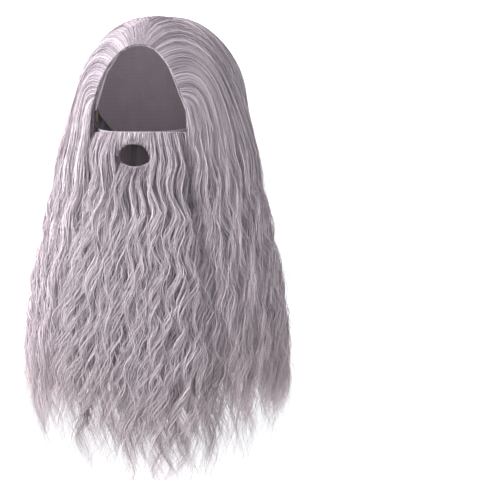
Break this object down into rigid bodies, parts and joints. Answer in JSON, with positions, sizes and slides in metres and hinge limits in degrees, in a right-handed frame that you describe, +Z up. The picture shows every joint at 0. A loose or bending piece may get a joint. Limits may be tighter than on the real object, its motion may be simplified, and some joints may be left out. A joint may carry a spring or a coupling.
{
  "type": "wig and beard set",
  "caption": "Long wavy wig on a net cap, with a full beard on a cloth backing that has a mouth opening and an elastic loop over the head.",
  "frame": {"origin": "crown of the head that the set is worn on, just under the top of the wig's cap", "axes": "+Z up, the face looks along -Y, +X is the wearer's left"},
  "size_m": [0.323, 0.2661, 0.563],
  "materials": {
    "cap_net": "open machine-knitted net with sewn wefts, matt",
    "wig_hair": "synthetic fibre hair, silver grey with a lilac cast, soft sheen",
    "beard_hair": "synthetic fibre hair, silver grey with a lilac cast, soft sheen",
    "beard_cloth": "plain woven backing cloth, matt",
    "elastic": "woven flat elastic, skin-toned, matt"
  },
  "bodies": {
    "root": {"wig_cap": "cap_net", "left_hair": "wig_hair", "right_hair": "wig_hair", "back_hair": "wig_hair", "beard_base": "beard_cloth", "beard_hair": "beard_hair", "moustache": "beard_hair", "beard_elastic": "elastic"}
  },
  "joints": []
}
